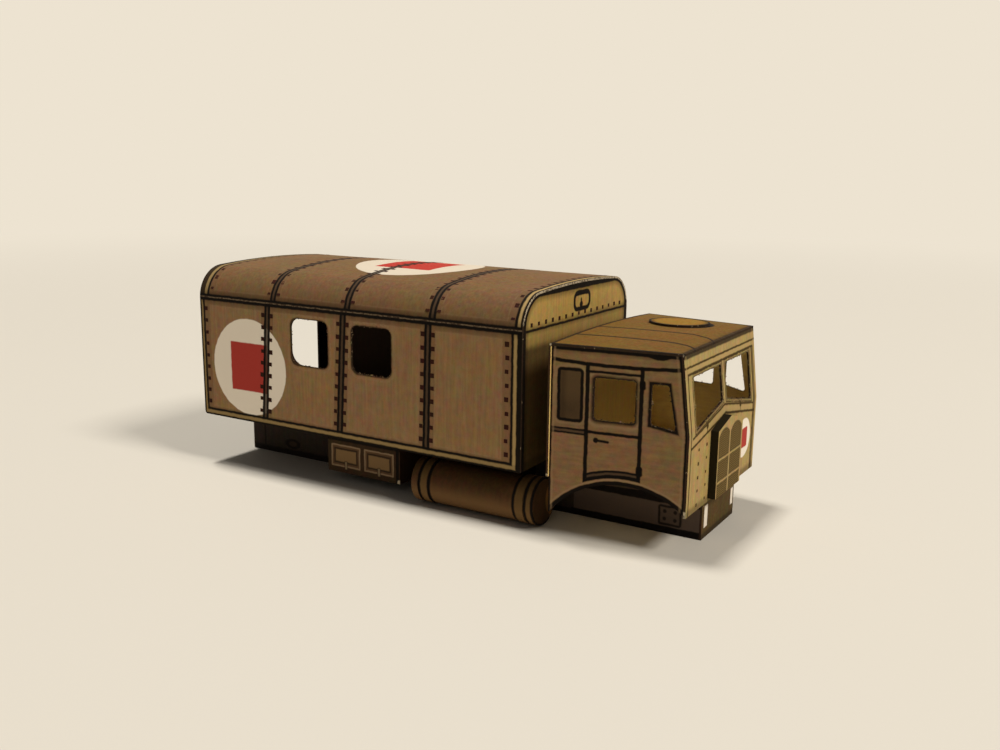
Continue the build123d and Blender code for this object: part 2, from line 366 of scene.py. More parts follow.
        dents = self.noise(0.17, detail=1.0, seed=31.0)
        fibres = self.noise(4.5, detail=4.0, seed=37.0)
        dented = self.bump(dents, distance=0.16, strength=0.55 * relief)
        fibrous = self.bump(fibres, distance=0.02, strength=0.5 * relief, over=dented)

        shader = self.node("BsdfPrincipled")
        self.feed(shader.inputs["Base Color"], colour)
        dullness = self.eased(self.noise(3.0, seed=41.0), 0.2, 0.8, 0.6, 0.82)
        self.feed(shader.inputs["Roughness"], dullness)
        shader.inputs["Specular IOR Level"].default_value = 0.05
        self.feed(shader.inputs["Normal"], fibrous)
        self.feed(self.node("OutputMaterial").inputs["Surface"], shader.outputs[0])
        return self.material


def dress(material, *nodes):
    """Gives a printed sheet to the CAD nodes that are cut from it."""
    for name in nodes:
        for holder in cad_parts[name].material_slots:
            holder.material = material


# Load body

RIBS = [(2.81, 0.024), (-12.8, 0.057), (-27.9, 0.065)]
RIB_MIDDLE_Z = 17.8
ROOF_RIBS = [3.7, -11.5, -26.15]
BODY_WINDOWS = [(-10.75, -3.45, 18.65, 25.85), (-22.6, -15.3, 18.65, 25.85)]


def paint_rib(sheet, from_middle):
    """A printed rib: a brown middle between two dark lines."""
    sheet.paint(from_middle - 0.6, RIB_BROWN, 0.9)
    sheet.line(outline(from_middle - 0.39, 0.42), 0.12)


def body_side_sheet():
    """Side panel: framed bays with ribs, the white disc, and the rims round both windows."""
    sheet = PrintedSheet("body_side_print", SIDE_DRAB)
    x, z = sheet.x, sheet.z
    from_ribs = [abs(x - (z - RIB_MIDDLE_Z) * lean - rib_x) for rib_x, lean in RIBS]
    from_rib = joined(*from_ribs)
    bays = overlap(panel(x, z, -39.8, 15.15, 9.75, 26.4), 1.35 - from_rib)
    sheet.paint(0.0 - bays, BAY_MARGIN, 0.4, 0.15)
    sheet.paint(outline(bays, 0.2), BAY_LINE, 0.34, worn=0.42)
    sheet.marking(x, z, (-31.6, 17.1), 15.5)
    paint_rib(sheet, from_rib)
    for left, right, low, high in BODY_WINDOWS:
        hole = panel(x, z, left, right, low, high, 1.2)
        sheet.paint(outline(hole - 0.55, 0.24), BAY_LINE, 0.5, worn=0.45)
        sheet.shade(hole, LINE_INK, 0.3, 0.8)
    rear_line, low_line, well_above = -41.15, 9.22, 40.0
    frame_line = panel(x, z, rear_line, 16.75, low_line, well_above)
    sheet.paint(0.0 - frame_line, STRIP_KHAKI, 0.85)
    sheet.paint(joined(z - low_line, x - rear_line), SOFT_INK, 0.26, 0.12)
    sheet.line(outline(frame_line, 0.42), 0.12)
    sheet.line(0.0 - panel(x, z, -41.68, 17.45, 8.5, well_above), 0.12)
    sheet.shade(EAVES_Z - z, LINE_INK, 1.2, 0.4)
    sheet.line(27.15 - z, 0.12)
    sheet.bare(overlap(strip(z, 8.0, 8.9), strip(x, -42.5, -41.2)))
    return sheet.finish(sheet.facing_out, SHADE_DARK_CARD)


def body_roof_sheet():
    """Roof sheet: ribs across it, the eaves' double line, the disc, and the frame at both ends."""
    sheet = PrintedSheet("body_roof_print", ROOF_DRAB)
    x, z = sheet.x, sheet.z
    from_rib = joined(*(abs(x - rib_x) for rib_x in ROOF_RIBS))
    bays = overlap(strip(x, -38.7, 15.8), 1.35 - from_rib, 28.9 - z)
    sheet.paint(0.0 - bays, BAY_MARGIN, 0.35, 0.15)
    sheet.paint(outline(bays, 0.2), BAY_LINE, 0.16, worn=0.42)
    sheet.marking(x, sheet.y, (-10.05, 0.0), 20.4, ROOF_WHITE)
    paint_rib(sheet, from_rib)
    rear_line = -40.15
    frame_line = strip(x, rear_line, 17.2)
    sheet.paint(0.0 - frame_line, STRIP_KHAKI, 0.85)
    sheet.paint(x - rear_line, SOFT_INK, 0.3, 0.12)
    sheet.line(outline(frame_line, 0.45), 0.12)
    sheet.paint(x - rear_line + 0.8, SOFT_INK, 0.95, 0.12)
    sheet.line(17.88 - x)
    sheet.shade(z - 28.15, LINE_INK, 1.0, 0.4)
    sheet.line(z - 28.2, 0.12)
    sheet.paint(strip(z, 27.62, 27.84), RIB_BROWN, 0.9)
    sheet.paint(strip(z, 27.68, 27.76), CUT_CARD, 0.6, worn=0.47)
    sheet.bare(overlap(strip(x, 18.1, 18.3), 28.4 - z))
    away_sideways, away_upwards = sheet.y * 0.06, (z - ROOF_MIDDLE_Z) * 0.08
    outward = sheet.facing_y * away_sideways + sheet.facing_z * away_upwards
    return sheet.finish(outward, SHADE_DARK_CARD)


def from_shoulders(sheet):
    """On an end wall, the distance from the middles of the body's two rounded shoulders."""
    beyond_side = sheet.reckon("MAXIMUM", sheet.side - SHOULDER_Y, 0.0)
    above_eaves = sheet.reckon("MAXIMUM", sheet.z - SHOULDER_Z, 0.0)
    return length(beyond_side, above_eaves)


def front_wall_sheet():
    """Front wall: dark rim, eaves line and small hatch on khaki, with painted shade by the cab."""
    sheet = PrintedSheet("front_wall_print", WALL_KHAKI)
    y, z = sheet.y, sheet.z
    rim = 4.1 - from_shoulders(sheet)
    sheet.shade(rim, SOFT_INK, 1.0, 0.5)
    sheet.line(rim)
    eaves_line = strip(z, 27.26, 27.64)
    sheet.line(eaves_line)
    sheet.shade(eaves_line, SOFT_INK, 0.7, 0.4)
    hatch = panel(y, z, -1.7, 3.15, 28.8, 31.2, 0.95)
    sheet.line(outline(hatch, 0.64))
    sheet.line(overlap(hatch, 30.75 - z))
    catch = (0.45, 29.4)
    knob = joined(disc(y, z, catch, 0.5), stroke(y, z, catch, (0.45, 30.2), 0.4))
    sheet.line(knob)
    sheet.shade(z - 9.0, SOFT_INK, 1.0, 0.45)
    # Painted shade: the wall darkens below the cab's roof and goes near black in the gap behind the
    # cab.
    sheet.shade(z - 25.2, SOFT_INK, 3.4, 0.34)
    cab_gap_shade = joined(z - 12.0, overlap(z - 24.6, sheet.side - 15.4))
    sheet.shade(cab_gap_shade, LINE_INK, 1.3, 0.74)
    return sheet.finish(sheet.facing_x, SHADE_DARK_CARD)


def rear_wall_sheet():
    """Rear wall, which the photograph doesn't show: a framed open doorway in the same style."""
    sheet = PrintedSheet("rear_wall_print", SIDE_DRAB)
    y, z, side = sheet.y, sheet.z, sheet.side
    doorway = panel(y, z, -11.35, 11.35, 9.6, 24.2, 0.4)
    sheet.paint(outline(doorway - 1.9, 0.2), BAY_LINE, 0.45, worn=0.4)
    sheet.line(outline(doorway - 0.75, 0.36))
    sheet.paint(strip(doorway, 0.1, 0.55), RIB_BROWN, 0.7)
    sheet.shade(doorway, LINE_INK, 0.4, 0.85)
    for low in (11.2, 16.5, 21.8):
        sheet.line(panel(side, z, 11.9, 13.2, low, low + 0.75, 0.2))
    for low in (29.0, 29.8, 30.6):
        sheet.line(panel(y, z, -3.4, 3.4, low, low + 0.32, 0.15))
    sheet.paint(outline(panel(y, z, -4.2, 4.2, 28.5, 31.4, 0.4), 0.24), SOFT_INK, 0.85)
    sheet.line(strip(z, 27.3, 27.62))
    sheet.line(4.36 - from_shoulders(sheet))
    sheet.shade(z - 8.9, SOFT_INK, 0.8, 0.4)
    return sheet.finish(0.0 - sheet.facing_x, SHADE_DARK_CARD)


# Cab

def paint_cab_windows(sheet):
    """The printed rear window, and the rim round the door's cut window."""
    x, z = sheet.x, sheet.z
    rear_window = panel(x, z, 23.6, 26.75, 16.55, 23.35, 0.35)
    sheet.paint(outline(rear_window - 0.42, 0.3), BAY_LINE, 0.35, 0.15)
    sheet.paint(rear_window, WINDOW_FILL, 0.93)
    sheet.paint(overlap(rear_window + 0.2, z - 19.2), SOFT_INK, 0.4, 1.8)
    sheet.paint(overlap(rear_window + 0.2, x - 24.5), SOFT_INK, 0.4, 0.5)
    sheet.line(outline(rear_window, 0.44))
    door_window = panel(x, z, *DOOR_WINDOW, 0.45)
    sheet.paint(outline(door_window - 0.7, 0.36), BAY_LINE, 0.4, 0.15)
    sheet.shade(door_window, LINE_INK, 0.6, 0.97)


def paint_cab_door(sheet, from_arch, below_band):
    """The waist lines, the door with its arched sill, its hinges and its handle."""
    x, z = sheet.x, sheet.z
    in_door = strip(x, 27.25, 34.84)
    rear_waist = strip(x, 22.7, 27.3)
    sheet.paint(overlap(rear_waist, strip(z, 14.95, 15.25)), RIB_BROWN, 0.8)
    sheet.line(overlap(rear_waist, strip(z, 15.22, 15.52)))
    sheet.line(overlap(rear_waist, strip(z, 14.7, 14.98)))
    sheet.line(overlap(in_door, strip(z, 15.04, 15.46)))

    sill = overlap(in_door, strip(from_arch, 13.35, 14.45))
    sheet.paint(sill, RIB_BROWN, 0.9)
    sill_lines = joined(strip(from_arch, 14.15, 14.5), strip(from_arch, 13.3, 13.85))
    sheet.line(overlap(sill, sill_lines))
    door_lines = joined(strip(x, 27.2, 27.75), strip(x, 34.33, 34.88))
    sheet.line(overlap(door_lines, 13.4 - from_arch, below_band))
    sheet.line(overlap(in_door, strip(z, 23.12, 23.48)))

    upper_hinge = panel(x, z, 34.3, 35.1, 21.5, 22.7, 0.25)
    lower_hinge = panel(x, z, 34.2, 35.1, 10.05, 11.4, 0.3)
    sheet.line(joined(upper_hinge, lower_hinge))
    handle_boss = disc(x, z, (28.8, 14.22), 0.36)
    handle_bar = stroke(x, z, (28.9, 14.2), (30.4, 14.15), 0.36)
    sheet.line(joined(handle_boss, handle_bar))


def paint_cab_edges(sheet, from_arch):
    """The lines along the arch, the front corner, the cut quarter window and the rear edge."""
    x, z = sheet.x, sheet.z
    sheet.paint(strip(from_arch, 13.0, 13.3), BAY_LINE, 0.5, 0.14)
    sheet.line(from_arch - 13.0)
    above_waist = sheet.reckon("MAXIMUM", z - WAIST_Z, 0.0)
    from_corner = x + above_waist * LEAN_BACK - 40.6
    sheet.line(-0.26 - from_corner)
    sheet.paint(strip(from_corner, -0.62, -0.36), BAY_LINE, 0.3, 0.14)

    front_edge = x + (z - 16.6) * 0.1897 - 39.12
    low_edge = QUARTER_LOW - (x - QUARTER_REAR) * 0.1818 - z
    quarter = overlap(QUARTER_REAR - x, front_edge, z - QUARTER_HIGH, low_edge)
    sheet.line(outline(quarter - 0.15, 0.3), 0.14)
    sheet.shade(quarter, LINE_INK, 0.6, 0.9)
    sheet.line(x - 22.76)
    sheet.paint(strip(x, 22.8, 23.05), BAY_LINE, 0.4, 0.12)


def cab_side_sheet():
    """Cab side: a dark top edge and a bowed line over the windows and the door."""
    sheet = PrintedSheet("cab_side_print", CAB_DRAB, streaks=(0.07, 1, 1))
    x, z = sheet.x, sheet.z
    from_arch = length(x - ARCH_X, z - ARCH_Z)
    bow = (x - 31.5) * (1 / 9.0)
    below_band = z - (bow * bow * 0.36 + 24.18)
    top_edge = 25.8 - z
    lifted_flap = sheet.eased(abs(x - 36.7), 0.2, 1.6, 0.34, 0.0)
    sheet.shade(top_edge, SOFT_INK, 0.5, 0.35)
    sheet.line(top_edge - lifted_flap)
    sheet.line(outline(below_band, 0.5))
    paint_cab_windows(sheet)
    paint_cab_door(sheet, from_arch, below_band)
    paint_cab_edges(sheet, from_arch)
    sheet.bare(overlap(strip(z, 5.0, 5.9), strip(x, 40.2, 41.0)))
    return sheet.finish(sheet.facing_out, CAB_WARM_LIT_CARD, flecks=0.85)


def cab_front_sheet():
    """Cab front: the header's lines, the windscreens' frames, the wipers and the nose's disc."""
    sheet = PrintedSheet("cab_front_print", FRONT_KHAKI)
    y, z, side = sheet.y, sheet.z, sheet.side

    def front_line(shape):
        sheet.paint(shape, FRONT_LINE, 0.97)

    sheet.paint(25.75 - z, SOFT_INK, 0.9, 0.14)
    sheet.paint(overlap(strip(z, 23.95, 24.5), strip(y, -12.8, 12.2)), STRIP_KHAKI, 0.7)
    front_line(strip(z, 24.5, 24.78))
    front_line(overlap(strip(z, 23.6, 23.9), side - 12.9))
    below_header, within_corners = z - 23.8, side - 13.0
    inner, outer, low, high = WINDSCREEN
    holes = overlap(strip(side, inner, outer), strip(z, low, high), 18.36 - z - side * 0.185)
    sheet.paint(outline(holes - 0.4, 0.24), FRONT_LINE, 0.95, worn=0.36)
    sheet.shade(holes, SOFT_INK, 0.35, 0.75)
    frame_slant = z + side * 0.175 - 17.62
    front_line(overlap(outline(frame_slant, 0.3), side - 12.4))
    sheet.paint(overlap(strip(frame_slant, -0.95, -0.25), within_corners), STRIP_KHAKI, 0.55, 0.12)
    waist_slant = z + side * 0.17 - 16.4
    front_line(overlap(outline(waist_slant, 0.36), within_corners))
    front_line(overlap(strip(side, 12.75, 13.05), below_header))
    sheet.paint(strip(side, 13.1, 13.45), STRIP_KHAKI, 0.35, 0.12)
    sheet.paint(overlap(strip(y, 12.05, 12.65), below_header), FRONT_LINE, 0.9)
    for pivot_y, pivot_z in ((-7.1, 16.15), (6.3, 16.4)):
        pivot = (pivot_y, pivot_z)
        arms = [
            stroke(y, z, (pivot_y + shift, pivot_z + rise), pivot, 0.2)
            for shift, rise in ((0.0, -0.75), (-0.6, 0.85), (0.55, 0.8))
        ]
        front_line(joined(*arms, disc(y, z, pivot, 0.42)))
    sheet.marking(y, z, (8.7, 10.9), 5.8)
    sheet.shade(z - 5.75, SOFT_INK, 0.9, 0.5)
    sheet.bare(overlap(z - 6.2, 13.0 - side))
    return sheet.finish(sheet.facing_x, CAB_WARM_LIT_CARD)


def cab_roof_sheet():
    """Cab roof: two thin bowed seams, dark folded edges and the shadow under the hatch's rim."""
    sheet = PrintedSheet("cab_roof_print", CAB_ROOF_OLIVE)
    x, y = sheet.x, sheet.y
    bow = (x - 33.5) * 0.105
    hook = sheet.reckon("MAXIMUM", x - 37.8, 0.0) * 0.65
    bend = bow * bow + hook * hook
    seams = joined(abs(y + 8.1 + bend), abs(y + 1.15 + bend))
    sheet.paint(seams - 0.3, SOFT_INK, 0.95, 0.16)
    front_fold = 39.2 - x
    sheet.paint(front_fold, SOFT_INK, 0.85, 0.2)
    sheet.shade(front_fold, SOFT_INK, 0.8, 0.25)
    sheet.paint(x - 22.7, SOFT_INK, 0.9, 0.12)
    from_edge = sheet.side - (CAB_REAR_Y - (x - CAB_REAR) * CAB_TAPER)
    sheet.line(-0.5 - from_edge, 0.12)
    shadow = disc(x, y, (HATCH_X + 0.35, HATCH_Y), HATCH_RADIUS + 0.28)
    sheet.line(shadow, 0.15)
    sheet.bare(x - 22.45)
    sheet.bare(39.55 - x)
    outward = sheet.reckon("MAXIMUM", sheet.facing_z, sheet.facing_x)
    return sheet.finish(outward, CAB_WARM_LIT_CARD, flecks=0.73)


def hatch_sheet():
    """Roof hatch: an ochre disc with a dark inked rim."""
    sheet = PrintedSheet("hatch_print", HATCH_OCHRE)
    from_middle = length(sheet.x - HATCH_X, sheet.y - HATCH_Y)
    from_rim = HATCH_RADIUS - from_middle
    sheet.shade(from_rim - 0.5, SOFT_INK, 0.5, 0.5)
    sheet.line(from_rim - 0.32)
    return sheet.finish(sheet.facing_z, flecks=0.66)


def grille_sheet():
    """Grille box: khaki rim and bars round six panes of fine mesh, on dark sides."""
    sheet = PrintedSheet("grille_print", FRONT_KHAKI)
    y, z = sheet.y, sheet.z
    weave = sheet.reckon("SINE", (y + z) * 11.0) * sheet.reckon("SINE", (y - z) * 11.0)
    mesh = sheet.mixed(sheet.eased(weave, -0.4, 0.4, 0.2, 0.9), MESH_OLIVE, SOFT_INK)
    for left, right, middle in ((-5.35, -1.25, -3.3), (-0.7, 3.75, 1.52)):
        arched = joined(
            panel(y, z, left, right, 5.0, 14.2),
            overlap(disc(y, z, (middle, 12.2), 2.92), strip(y, left, right)),
        )
        pane = overlap(arched, 0.2 - joined(abs(z - 11.05), abs(z - 7.85)))
        share = sheet.eased(pane, -0.1, 0.1, 1.0, 0.0)
        sheet.colour = sheet.mixed(share, sheet.colour, mesh)
        sheet.paint(outline(pane, 0.16), SOFT_INK, 0.6)
    sideways = sheet.eased(sheet.facing_x, 0.4, 0.7, 1.0, 0.0)
    sheet.colour = sheet.mixed(sideways, sheet.colour, GRILLE_SIDE)
    return sheet.finish(sheet.facing_x + 1.5)


def cab_rear_wall_sheet():
    """Cab rear wall: two printed panes over a waist line, with a brown cut edge."""
    sheet = PrintedSheet("cab_rear_wall_print", CAB_DRAB)
    y, z = sheet.y, sheet.z
    pane = panel(sheet.side, z, 4.0, 12.0, 17.4, 22.8, 0.5)
    sheet.paint(pane, WINDOW_FILL, 0.9)
    sheet.line(outline(pane, 0.3))
    sheet.line(strip(z, 15.0, 15.4))
    sheet.line(outline(strip(y, -15.6, 15.6), 0.3))
    sheet.bare(z - 8.9)
    return sheet.finish(0.0 - sheet.facing_x, CAB_SHADED_BACK_CARD, CAB_REAR_CUT, flecks=0.76)


# Chassis

def chassis_side_sheet():
    """Chassis strip: grey-brown rail, black edges, painted shade above the rail, bolted plate, dark
    oval.
    """
    sheet = PrintedSheet("chassis_side_print", CHASSIS_BROWN)
    x, z = sheet.x, sheet.z
    rail_height = strip(z, 1.0, 4.25)
    front_rail = overlap(21.4 - x, rail_height)
    rear_rail = overlap(x + 19.5, 0.9 - z)
    # Painted shade: black above the front rail, where the wheel well under the cab lies in shade;
    # the black below the rail is print.
    sheet.paint(overlap(21.0 - x, 0.0 - rail_height), CHASSIS_BLACK, 0.92)
    sheet.paint(front_rail, RAIL_GREY, 0.8, 0.12)
    sheet.paint(outline(rear_rail, 0.3), CHASSIS_BLACK, 0.5)
    sheet.paint(z - 0.85, CHASSIS_BLACK, 0.9, 0.12)
    plate = panel(x, z, 34.5, 37.6, 1.3, 3.85, 0.2)
    sheet.paint(plate, PLATE_GREY, 0.9)
    sheet.paint(outline(plate, 0.32), CHASSIS_BLACK, 0.9)
    bolt_places = [(bolt_x, bolt_z) for bolt_x in (35.3, 36.8) for bolt_z in (2.05, 3.15)]
    bolts = joined(*(disc(x, z, place, 0.26) for place in bolt_places))
    sheet.paint(bolts, CHASSIS_BLACK, 0.85)
    oval = length((x + 32.3) * 0.5, z - 2.0) - 0.85
    sheet.paint(oval, CHASSIS_BLACK, 0.75, 0.12)
    sheet.paint(oval + 0.4, RIB_BROWN, 0.6, 0.12)
    sheet.paint(overlap(strip(x, -38.8, -38.4), strip(z, 0.9, 7.6)), CHASSIS_BLACK, 0.7)
    return sheet.finish(sheet.facing_out, SHADE_DARK_CARD)


def chassis_end_sheet():
    """Chassis end: dark olive-brown with an upright white bar near each side."""
    sheet = PrintedSheet("chassis_end_print", CHASSIS_END_OLIVE)
    bars = joined(
        panel(sheet.y, sheet.z, -5.6, -4.4, 1.5, 4.6),
        panel(sheet.y, sheet.z, 5.2, 6.1, 1.7, 4.1),
    )
    sheet.paint(bars, PRINT_WHITE, 0.92)
    sheet.shade(sheet.z - 0.5, SOFT_INK, 0.6, 0.7)
    return sheet.finish(abs(sheet.facing_x), SHADE_DARK_CARD)


def chassis_lid_sheet():
    """Top and bottom strips of the chassis box: near-black with rubbed edges."""
    sheet = PrintedSheet("chassis_lid_print", CHASSIS_BLACK)
    sheet.shade(6.3 - sheet.side, CHASSIS_BROWN, 0.3, 0.6)
    return sheet.finish(abs(sheet.facing_z), SHADE_DARK_CARD)


def toolbox_sheet():
    """Toolbox: two framed lids with a latch each, and a dark strip at the front."""
    sheet = PrintedSheet("toolbox_print", TOOLBOX_BROWN)
    x, z = sheet.x, sheet.z
    sheet.colour = sheet.mixed(0.45, sheet.colour, SOFT_INK)
    for left, right in ((-18.1, -12.4), (-11.6, -5.95)):
        lid = panel(x, z, left, right, 2.4, 5.95, 0.1)
        sheet.paint(lid, LID_BROWN, 0.9)
        sheet.paint(outline(lid + 0.1, 0.24), LID_FRAME, 0.8)
        sheet.paint(lid + 0.68, LID_MIDDLE, 0.85)
        sheet.paint(outline(lid + 0.68, 0.3), SOFT_INK, 0.85)
        middle = (left + right) / 2
        latch = panel(x, z, middle - 0.2, middle + 0.22, 2.05, 3.25, 0.1)
        sheet.shade(latch, SOFT_INK, 0.3, 0.7)
        sheet.paint(latch, LATCH_TAN, 0.85)
    sheet.paint(strip(x, -5.55, -4.95), CHASSIS_BLACK, 0.92)
    sheet.paint(6.55 - z, CHASSIS_BLACK, 0.92, 0.15)
    sheet.paint(disc(x, z, (-4.85, 1.7), 0.42), BARE_CARD, 0.95)
    sheet.paint(disc(x, z, (-18.7, 7.6), 0.3), BARE_CARD, 0.8)
    side_face = sheet.eased(sheet.facing_out, 0.4, 0.7, 1.0, 0.0)
    sheet.colour = sheet.mixed(side_face, sheet.colour, TOOLBOX_SIDE)
    return sheet.finish(abs(sheet.facing_out) + 1.0)


def tank_sheet():
    """Rolled tank: warm brown as painted shade, painted light below, a dark line each side of
    bands.
    """
    sheet = PrintedSheet("tank_print", TANK_SHADED_BROWN)
    x, z = sheet.x, sheet.z
    # Painted light: paler towards the bottom, as if lit from the floor.
    sheet.shade(z - 2.2, TANK_PAINTED_LIGHT_BELOW, 2.4, 0.6)
    bands = joined(strip(x, 1.2, 2.6), strip(x, 17.1, 18.6), strip(x, 18.9, 19.7))
    sheet.paint(bands, TANK_BAND, 0.5, 0.2)
    grooves = joined(*(abs(x - place) for place in (1.15, 2.8, 16.95, 18.75, 19.95)))
    sheet.line(grooves - 0.26, 0.14)
    return sheet.finish(abs(sheet.facing_x) + 1.0)


def tank_disc_sheet():
    """Tank end: a disc in dark ink, but for a brown patch on the side towards the chassis."""
    sheet = PrintedSheet("tank_disc_print", TANK_DISC_BROWN)
    brown_patch = disc(sheet.side, sheet.z, (9.6, 3.5), 2.85)
    sheet.paint(0.0 - brown_patch, SOFT_INK, 0.8, 0.14)
    return sheet.finish(abs(sheet.facing_x))


def bracket_sheet():
    """The card cradles that hold the tanks: plain black card."""
    sheet = PrintedSheet("bracket_card", CHASSIS_BLACK)
    return sheet.finish(abs(sheet.facing_x), SHADE_DARK_CARD, flecks=0.66)


def floor_card(name, ink):
    """Unprinted card, as on the two floors."""
    sheet = PrintedSheet(name, ink, 0.16)
    return sheet.finish(abs(sheet.facing_z), ink, flecks=0.8)


dress(body_side_sheet(), "body_side_right", "body_side_left")
dress(body_roof_sheet(), "body_roof")
dress(front_wall_sheet(), "body_front_wall")
dress(rear_wall_sheet(), "body_rear_wall")
dress(floor_card("body_floor_card", SHADE_DARK_CARD), "body_floor")
dress(cab_side_sheet(), "cab_side_right", "cab_side_left")
dress(cab_front_sheet(), "cab_front")
dress(cab_roof_sheet(), "cab_roof")
dress(hatch_sheet(), "cab_roof_hatch")
dress(grille_sheet(), "cab_grille")
dress(cab_rear_wall_sheet(), "cab_rear_wall")
dress(floor_card("cab_floor_card", CAB_FLOOR_CARD), "cab_floor")
dress(chassis_side_sheet(), "chassis_side_right", "chassis_side_left")
dress(chassis_end_sheet(), "chassis_front", "chassis_rear")
dress(chassis_lid_sheet(), "chassis_top", "chassis_bottom")
dress(toolbox_sheet(), "toolbox_right", "toolbox_left")
dress(tank_sheet(), "tank_right", "tank_left")
discs = [f"tank_disc_{end}_{side}" for end in ("rear", "front") for side in ("right", "left")]
dress(tank_disc_sheet(), *discs)
dress(bracket_sheet(), "tank_bracket_right", "tank_bracket_left")


# Printed rivets

SIDE_RIVETS_Z = (10.5, 25.78)
LOWEST_ROOF_RIVET_Z = 29.3


def rivet_ink(name, colour):
    """The thick dark dot of ink that marks a rivet."""
    sheet = PrintedSheet(name, colour, 0.4)
    return sheet.finish(abs(sheet.facing_x) + 1.0)


class Recipe:
    """A Geometry Nodes tree with named inputs, which ends in one painted mesh."""

    def __init__(self, name, inputs):
        self.tree = bpy.data.node_groups.new(name, "GeometryNodeTree")
        new_socket = self.tree.interface.new_socket
        for title, kind, value in inputs:
            made = new_socket(title, in_out="INPUT", socket_type="NodeSocket" + kind)
            if value is not None:
                made.default_value = value
        new_socket("Mesh", in_out="OUTPUT", socket_type="NodeSocketGeometry")
        self.given = self.tree.nodes.new("NodeGroupInput").outputs

    def step(self, kind, feeds, output=0, **settings):
        """Adds a node, feeds its inputs and gives back one of its outputs."""
        made = self.tree.nodes.new(kind)
        for name, value in settings.items():
            setattr(made, name, value)
        for socket, value in feeds.items():
            if isinstance(value, bpy.types.NodeSocket):
                self.tree.links.new(value, made.inputs[socket])
            else:
                made.inputs[socket].default_value = value
        return made.outputs[output]

    def vector(self, operation, first, second):
        second_socket = "Scale" if operation == "SCALE" else 1
        feeds = {0: first, second_socket: second}
        return self.step("ShaderNodeVectorMath", feeds, operation=operation)

    def random(self, feeds, output=0, kind="FLOAT_VECTOR"):
        """A value for each point, with its limits at inputs 0 and 1 or, for numbers, 2 and 3."""
        feeds = {**feeds, "Seed": self.given["Seed"]}
        return self.step("FunctionNodeRandomValue", feeds, output, data_type=kind)

    def stray(self):
        """A random shift, of up to the given unevenness each way."""
        most = self.given["Unevenness"]
        low, high = (self.vector("SCALE", (way, way, way), most) for way in (-1, 1))
        return self.random({0: low, 1: high})

    def close(self, instances, material):
        """Ends the tree with its instances as one painted mesh."""
        whole = self.step("GeometryNodeRealizeInstances", {0: instances})
        painted = self.step("GeometryNodeSetMaterial", {"Geometry": whole, "Material": material})
        result = self.tree.nodes.new("NodeGroupOutput")
        self.tree.links.new(painted, result.inputs[0])
        return self.tree


def rivet_recipe():
    """Puts a flat square dot at even steps along each line of rivets."""
    recipe = Recipe("printed_rivets", [
        ("Lines", "Geometry", None), ("Rivets in a line", "Int", 9), ("Width", "Float", 0.5 * MM),
        ("Thickness", "Float", 0.05 * MM), ("Unevenness", "Float", 0.05 * MM),
        ("Across", "Vector", (1, 0, 0)), ("Seed", "Int", 1), ("Ink", "Material", None),
    ])
    given, step, vector = recipe.given, recipe.step, recipe.vector
    lines = step("GeometryNodeMeshToCurve", {0: given["Lines"]})
    spaced = step("GeometryNodeResampleCurve", {"Curve": lines, "Count": given["Rivets in a line"]})
    upright = vector("CROSS_PRODUCT", step("GeometryNodeInputTangent", {}), given["Across"])
    stray = recipe.stray()
    flat_stray = vector("SUBTRACT", stray, vector("PROJECT", stray, upright))
    placed = step("GeometryNodeSetPosition", {"Geometry": spaced, "Offset": flat_stray})
    turned = step(
        "FunctionNodeAxesToRotation", {"Primary Axis": upright, "Secondary Axis": given["Across"]},
        primary_axis="Z", secondary_axis="X",
    )
    cone = step("GeometryNodeMeshCone", {
        "Vertices": 4, "Radius Top": 0.6, "Radius Bottom": 0.72, "Depth": 1.0,
    })
    dot = step("GeometryNodeTransform", {
        0: cone, "Translation": (0, 0, -0.5), "Rotation": (0, 0, math.pi / 4),
    })
    growth = recipe.random({2: 0.86, 3: 1.14}, output=1, kind="FLOAT")
    width = step("ShaderNodeMath", {0: given["Width"], 1: growth}, operation="MULTIPLY")
    size = step("ShaderNodeCombineXYZ", {0: width, 1: width, 2: given["Thickness"]})
    rivets = step("GeometryNodeInstanceOnPoints", {
        "Points": placed, "Instance": dot, "Rotation": turned, "Scale": size,
    })
    return recipe.close(rivets, given["Ink"])


def fibre_recipe():
    """Leaves torn shreds of card at uneven places along a hand-cut edge."""
    recipe = Recipe("cut_fibres", [
        ("Lines", "Geometry", None), ("Step", "Float", 0.25 * MM), ("Share", "Float", 0.5),
        ("Size", "Float", 0.1 * MM), ("Unevenness", "Float", 0.08 * MM), ("Seed", "Int", 1),
        ("Card", "Material", None),
    ])
    given, step, vector = recipe.given, recipe.step, recipe.vector
    lines = step("GeometryNodeMeshToCurve", {0: given["Lines"]})
    feeds = {"Curve": lines, "Length": given["Step"]}
    spaced = step("GeometryNodeCurveToPoints", feeds, mode="LENGTH")
    placed = step("GeometryNodeSetPosition", {"Geometry": spaced, "Offset": recipe.stray()})
    kept = recipe.random({"Probability": given["Share"]}, output=3, kind="BOOLEAN")
    turn = recipe.random({0: (0, 0, 0), 1: (6, 6, 6)})
    spread = recipe.random({0: (0.3, 0.3, 0.5), 1: (0.9, 0.8, 2.0)})
    shred = step("GeometryNodeMeshIcoSphere", {"Radius": 1.0, "Subdivisions": 1})
    fibres = step("GeometryNodeInstanceOnPoints", {
        "Points": placed, "Selection": kept, "Instance": shred, "Rotation": turn,
        "Scale": vector("SCALE", spread, given["Size"]),
    })
    return recipe.close(fibres, given["Card"])


def in_scene(name, data):
    made = bpy.data.objects.new(name, data)
    bpy.context.scene.collection.objects.link(made)
    return made


def line_work(name, lines, loops=False):
    """A mesh of bare edges along each line of points."""
    points, edges = [], []
    for line in lines:
        first = len(points)
        points += [Vector(point) * MM for point in line]
        edges += [(n, n + 1) for n in range(first, len(points) - 1)]
        if loops:
            edges.append((len(points) - 1, first))
    mesh = bpy.data.meshes.new(name)
    mesh.from_pydata(points, edges, [])
    return in_scene(name, mesh)


